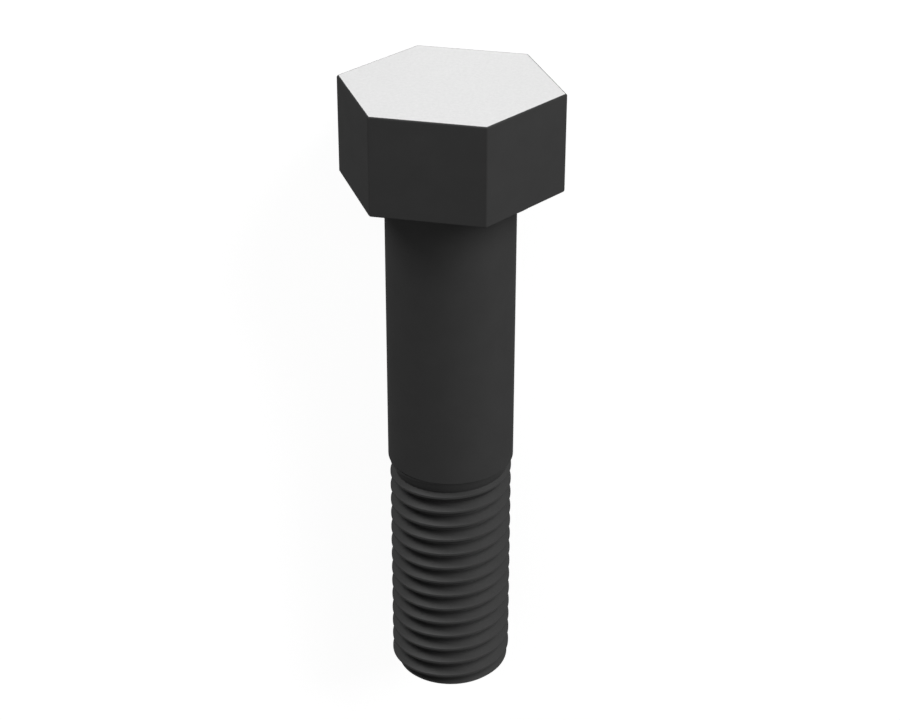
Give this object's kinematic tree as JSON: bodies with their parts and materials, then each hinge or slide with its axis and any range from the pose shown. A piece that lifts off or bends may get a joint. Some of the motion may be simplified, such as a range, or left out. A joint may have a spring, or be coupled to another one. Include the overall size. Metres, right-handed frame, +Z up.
{
  "type": "cap screw",
  "caption": "Hexagon-head cap screw in dark steel, with a plain body, a slightly narrower threaded end and a bright head top. It clamps parts together through a hole.",
  "frame": {"origin": "where the screw's axis meets the bearing face under the head", "axes": "+X runs along the screw towards the head and +Z is up. The screw lies at rest on the lower edge of its head and on its tip, so its axis rises towards the head by 3.51 degrees from +X."},
  "size_m": [0.0988, 0.0328, 0.0294],
  "materials": {
    "black_steel": "matt black oxide on steel, with the head's flat top ground bright"
  },
  "bodies": {
    "root": {"cap_screw": "black_steel"}
  },
  "joints": []
}
